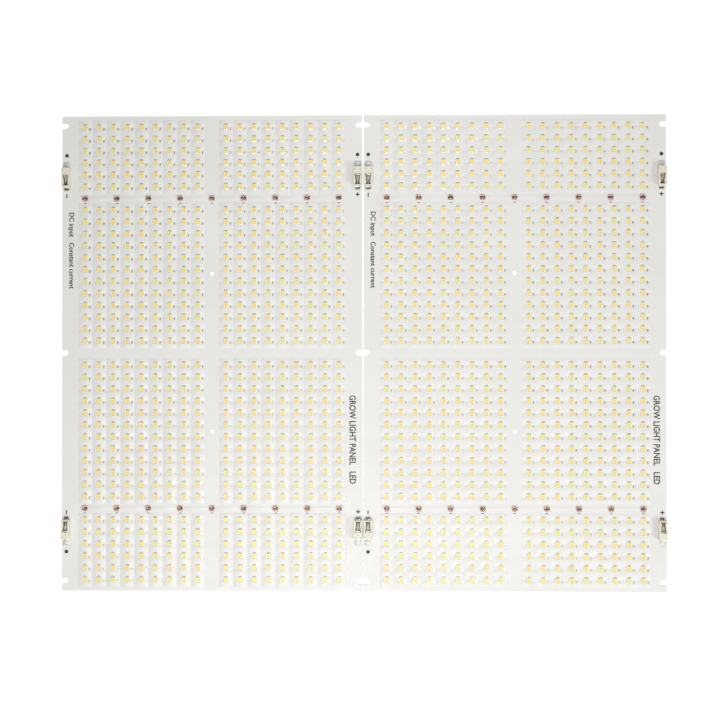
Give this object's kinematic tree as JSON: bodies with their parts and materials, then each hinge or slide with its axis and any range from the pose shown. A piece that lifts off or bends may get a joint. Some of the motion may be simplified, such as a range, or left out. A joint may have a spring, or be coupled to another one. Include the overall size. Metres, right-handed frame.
{
  "type": "led grow light",
  "caption": "Pair of bare rectangular LED grow-light circuit boards laid edge to edge, with white and deep-red lamps and push-in wire terminals on the long edges.",
  "frame": {"origin": "centre of the pair of boards, on the plane of their backs", "axes": "+Z out of the lamps, +X across both boards from the left board to the right board, +Y along the boards' long edges"},
  "size_m": [0.387, 0.3052, 0.0063],
  "materials": {
    "aluminium": "bare rolled sheet with a fine grain, milled edges",
    "solder_mask": "white reflective solder mask over copper, satin",
    "phosphor": "yellow phosphor in a white package, satin silicone",
    "red_led": "dark red die under a clear lens on a grey ceramic package",
    "terminal_plastic": "cream moulded insulating plastic, slightly translucent",
    "tinned_brass": "stamped and tinned, with soldered tabs",
    "spring_brass": "bare spring strip, satin"
  },
  "bodies": {
    "left_board": {"left_core": "aluminium", "left_circuit": "solder_mask", "left_whites_1a": "phosphor", "left_whites_1b": "phosphor", "left_whites_2a": "phosphor", "left_whites_2b": "phosphor", "left_whites_3a": "phosphor", "left_whites_3b": "phosphor", "left_whites_4a": "phosphor", "left_whites_4b": "phosphor", "left_reds_upper": "red_led", "left_reds_lower": "red_led", "left_upper_minus_housing": "terminal_plastic", "left_upper_minus_contact": "tinned_brass", "left_upper_plus_housing": "terminal_plastic", "left_upper_plus_contact": "tinned_brass", "left_lower_minus_housing": "terminal_plastic", "left_lower_minus_contact": "tinned_brass", "left_lower_plus_housing": "terminal_plastic", "left_lower_plus_contact": "tinned_brass"},
    "right_board": {"right_core": "aluminium", "right_circuit": "solder_mask", "right_whites_1a": "phosphor", "right_whites_1b": "phosphor", "right_whites_2a": "phosphor", "right_whites_2b": "phosphor", "right_whites_3a": "phosphor", "right_whites_3b": "phosphor", "right_whites_4a": "phosphor", "right_whites_4b": "phosphor", "right_reds_upper": "red_led", "right_reds_lower": "red_led", "right_upper_minus_housing": "terminal_plastic", "right_upper_minus_contact": "tinned_brass", "right_upper_plus_housing": "terminal_plastic", "right_upper_plus_contact": "tinned_brass", "right_lower_minus_housing": "terminal_plastic", "right_lower_minus_contact": "tinned_brass", "right_lower_plus_housing": "terminal_plastic", "right_lower_plus_contact": "tinned_brass"},
    "left_upper_minus_clamp_a": {"left_upper_minus_clamp_a": "spring_brass"},
    "left_upper_minus_clamp_b": {"left_upper_minus_clamp_b": "spring_brass"},
    "left_upper_plus_clamp_a": {"left_upper_plus_clamp_a": "spring_brass"},
    "left_upper_plus_clamp_b": {"left_upper_plus_clamp_b": "spring_brass"},
    "left_lower_minus_clamp_a": {"left_lower_minus_clamp_a": "spring_brass"},
    "left_lower_minus_clamp_b": {"left_lower_minus_clamp_b": "spring_brass"},
    "left_lower_plus_clamp_a": {"left_lower_plus_clamp_a": "spring_brass"},
    "left_lower_plus_clamp_b": {"left_lower_plus_clamp_b": "spring_brass"},
    "right_upper_minus_clamp_a": {"right_upper_minus_clamp_a": "spring_brass"},
    "right_upper_minus_clamp_b": {"right_upper_minus_clamp_b": "spring_brass"},
    "right_upper_plus_clamp_a": {"right_upper_plus_clamp_a": "spring_brass"},
    "right_upper_plus_clamp_b": {"right_upper_plus_clamp_b": "spring_brass"},
    "right_lower_minus_clamp_a": {"right_lower_minus_clamp_a": "spring_brass"},
    "right_lower_minus_clamp_b": {"right_lower_minus_clamp_b": "spring_brass"},
    "right_lower_plus_clamp_a": {"right_lower_plus_clamp_a": "spring_brass"},
    "right_lower_plus_clamp_b": {"right_lower_plus_clamp_b": "spring_brass"}
  },
  "joints": [
    {"name": "right_board_slide", "type": "slide", "parent": "left_board", "child": "right_board", "axis": [1, 0, 0], "range_m": [0, 0.12]},
    {"name": "left_upper_minus_clamp_b_bend", "type": "hinge", "parent": "left_board", "child": "left_upper_minus_clamp_b", "pos_m": [-0.1892, 0.11369, 0.0019], "axis": [0, 0, 1], "range_deg": [0, 6], "stiffness_Nm_per_rad": 0.1},
    {"name": "left_upper_minus_clamp_a_bend", "type": "hinge", "parent": "left_board", "child": "left_upper_minus_clamp_a", "pos_m": [-0.1921, 0.11369, 0.0019], "axis": [0, 0, 1], "range_deg": [-6, 0], "stiffness_Nm_per_rad": 0.1},
    {"name": "left_upper_plus_clamp_b_bend", "type": "hinge", "parent": "left_board", "child": "left_upper_plus_clamp_b", "pos_m": [-0.002, 0.11369, 0.0019], "axis": [0, 0, 1], "range_deg": [0, 6], "stiffness_Nm_per_rad": 0.1},
    {"name": "left_upper_plus_clamp_a_bend", "type": "hinge", "parent": "left_board", "child": "left_upper_plus_clamp_a", "pos_m": [-0.0049, 0.11369, 0.0019], "axis": [0, 0, 1], "range_deg": [-6, 0], "stiffness_Nm_per_rad": 0.1},
    {"name": "left_lower_minus_clamp_b_bend", "type": "hinge", "parent": "left_board", "child": "left_lower_minus_clamp_b", "pos_m": [-0.1921, -0.11331, 0.0019], "axis": [0, 0, 1], "range_deg": [0, 6], "stiffness_Nm_per_rad": 0.1},
    {"name": "left_lower_minus_clamp_a_bend", "type": "hinge", "parent": "left_board", "child": "left_lower_minus_clamp_a", "pos_m": [-0.1892, -0.11331, 0.0019], "axis": [0, 0, 1], "range_deg": [-6, 0], "stiffness_Nm_per_rad": 0.1},
    {"name": "left_lower_plus_clamp_b_bend", "type": "hinge", "parent": "left_board", "child": "left_lower_plus_clamp_b", "pos_m": [-0.0049, -0.11331, 0.0019], "axis": [0, 0, 1], "range_deg": [0, 6], "stiffness_Nm_per_rad": 0.1},
    {"name": "left_lower_plus_clamp_a_bend", "type": "hinge", "parent": "left_board", "child": "left_lower_plus_clamp_a", "pos_m": [-0.002, -0.11331, 0.0019], "axis": [0, 0, 1], "range_deg": [-6, 0], "stiffness_Nm_per_rad": 0.1},
    {"name": "right_upper_minus_clamp_b_bend", "type": "hinge", "parent": "right_board", "child": "right_upper_minus_clamp_b", "pos_m": [0.00482, 0.11368, 0.0019], "axis": [0, 0, 1], "range_deg": [0, 6], "stiffness_Nm_per_rad": 0.1},
    {"name": "right_upper_minus_clamp_a_bend", "type": "hinge", "parent": "right_board", "child": "right_upper_minus_clamp_a", "pos_m": [0.00192, 0.11369, 0.0019], "axis": [0, 0, 1], "range_deg": [-6, 0], "stiffness_Nm_per_rad": 0.1},
    {"name": "right_upper_plus_clamp_b_bend", "type": "hinge", "parent": "right_board", "child": "right_upper_plus_clamp_b", "pos_m": [0.19202, 0.11331, 0.0019], "axis": [0, 0, 1], "range_deg": [0, 6], "stiffness_Nm_per_rad": 0.1},
    {"name": "right_upper_plus_clamp_a_bend", "type": "hinge", "parent": "right_board", "child": "right_upper_plus_clamp_a", "pos_m": [0.18912, 0.11332, 0.0019], "axis": [0, 0, 1], "range_deg": [-6, 0], "stiffness_Nm_per_rad": 0.1},
    {"name": "right_lower_minus_clamp_b_bend", "type": "hinge", "parent": "right_board", "child": "right_lower_minus_clamp_b", "pos_m": [0.00148, -0.11331, 0.0019], "axis": [0, 0, 1], "range_deg": [0, 6], "stiffness_Nm_per_rad": 0.1},
    {"name": "right_lower_minus_clamp_a_bend", "type": "hinge", "parent": "right_board", "child": "right_lower_minus_clamp_a", "pos_m": [0.00438, -0.11332, 0.0019], "axis": [0, 0, 1], "range_deg": [-6, 0], "stiffness_Nm_per_rad": 0.1},
    {"name": "right_lower_plus_clamp_b_bend", "type": "hinge", "parent": "right_board", "child": "right_lower_plus_clamp_b", "pos_m": [0.18868, -0.11368, 0.0019], "axis": [0, 0, 1], "range_deg": [0, 6], "stiffness_Nm_per_rad": 0.1},
    {"name": "right_lower_plus_clamp_a_bend", "type": "hinge", "parent": "right_board", "child": "right_lower_plus_clamp_a", "pos_m": [0.19158, -0.11369, 0.0019], "axis": [0, 0, 1], "range_deg": [-6, 0], "stiffness_Nm_per_rad": 0.1}
  ]
}
